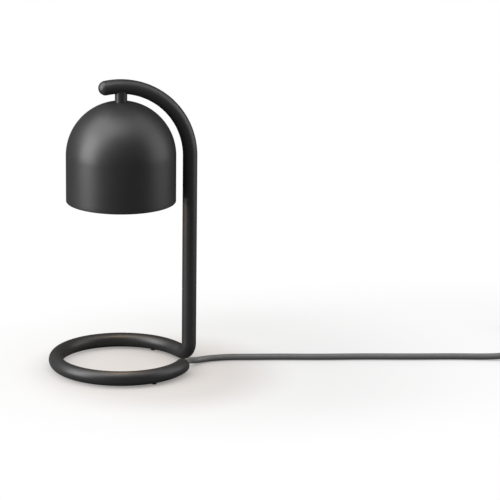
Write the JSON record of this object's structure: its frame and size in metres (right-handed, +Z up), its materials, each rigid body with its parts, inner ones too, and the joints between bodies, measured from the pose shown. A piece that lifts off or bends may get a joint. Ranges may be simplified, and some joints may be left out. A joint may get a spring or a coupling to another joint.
{
  "type": "candle warmer lamp",
  "caption": "Table lamp that warms a jar candle: bent tube with open floor ring, post and arched arm, dome shade with a reflector lamp, cord with dimmer and plug.",
  "frame": {"origin": "centre of the floor ring on the table, where the candle stands", "axes": "+Z up along the shade's axis, +X from the ring's centre towards the post"},
  "size_m": [0.7421, 0.1675, 0.3245],
  "materials": {
    "frame_coat": "matte powder coat",
    "shade_coat": "matte powder coat",
    "cap_plastic": "matte",
    "foot_rubber": "matte",
    "relief_rubber": "satin",
    "zinc_steel": "zinc plated",
    "ceramic": "glazed ceramic",
    "brass": "plain",
    "plated_pins": "nickel plated",
    "mirror_coat": "aluminised glass",
    "clear_glass": "clear",
    "cable_jacket": "matte",
    "wire_sleeve": "silicone",
    "case_plastic": "fine texture",
    "board": "satin",
    "part_plastic": "matte",
    "shaft_metal": "turned",
    "knob_plastic": "satin",
    "plug_plastic": "satin",
    "cord_jacket": "satin",
    "tie_strap": "matte"
  },
  "bodies": {
    "lamp": {"arm_end_cap": "cap_plastic", "arm_tube": "frame_coat", "base_elbow": "frame_coat", "base_ring": "frame_coat", "bracket_screws": "zinc_steel", "case_screws": "zinc_steel", "circuit_board": "board", "coil_tie": "tie_strap", "cord_coil": "cord_jacket", "cord_front_run": "cord_jacket", "cord_plug_tail": "cord_jacket", "cord_rear_run": "cord_jacket", "cord_strain_relief": "relief_rubber", "holder_bracket": "zinc_steel", "holder_wires": "wire_sleeve", "inner_cable": "cable_jacket", "lampholder_body": "ceramic", "lampholder_contacts": "brass", "neck_collar": "frame_coat", "nipple_nuts": "zinc_steel", "plug_body": "plug_plastic", "plug_pins": "plated_pins", "potentiometer": "part_plastic", "ring_end_cap": "cap_plastic", "rubber_feet": "foot_rubber", "shade": "shade_coat", "shade_washer": "zinc_steel", "switch_base": "case_plastic", "switch_cover": "case_plastic", "switch_inlet_relief": "relief_rubber", "switch_outlet_relief": "relief_rubber", "tact_switch": "part_plastic", "threaded_nipple": "zinc_steel"},
    "bulb": {"bulb_base": "ceramic", "bulb_pins": "plated_pins", "bulb_reflector": "mirror_coat", "bulb_lens": "clear_glass", "bulb_capsule": "clear_glass"},
    "dial": {"dimmer_dial": "knob_plastic", "dial_shaft": "shaft_metal"},
    "button": {"push_button": "knob_plastic"}
  },
  "joints": [
    {"name": "bulb_twist", "type": "hinge", "parent": "lamp", "child": "bulb", "pos_m": [0, 0, 0.2607], "axis": [0, 0, -1], "range_deg": [0, 25]},
    {"name": "dial_turn", "type": "hinge", "parent": "lamp", "child": "dial", "pos_m": [0.489, -0.0695, 0.0253], "axis": [0, 0, -1], "range_deg": [-135, 135]},
    {"name": "button_press", "type": "slide", "parent": "lamp", "child": "button", "axis": [0, 0, -1], "range_m": [0, 0.0012], "stiffness_N_per_m": 600, "springref_m": -0.0005}
  ]
}
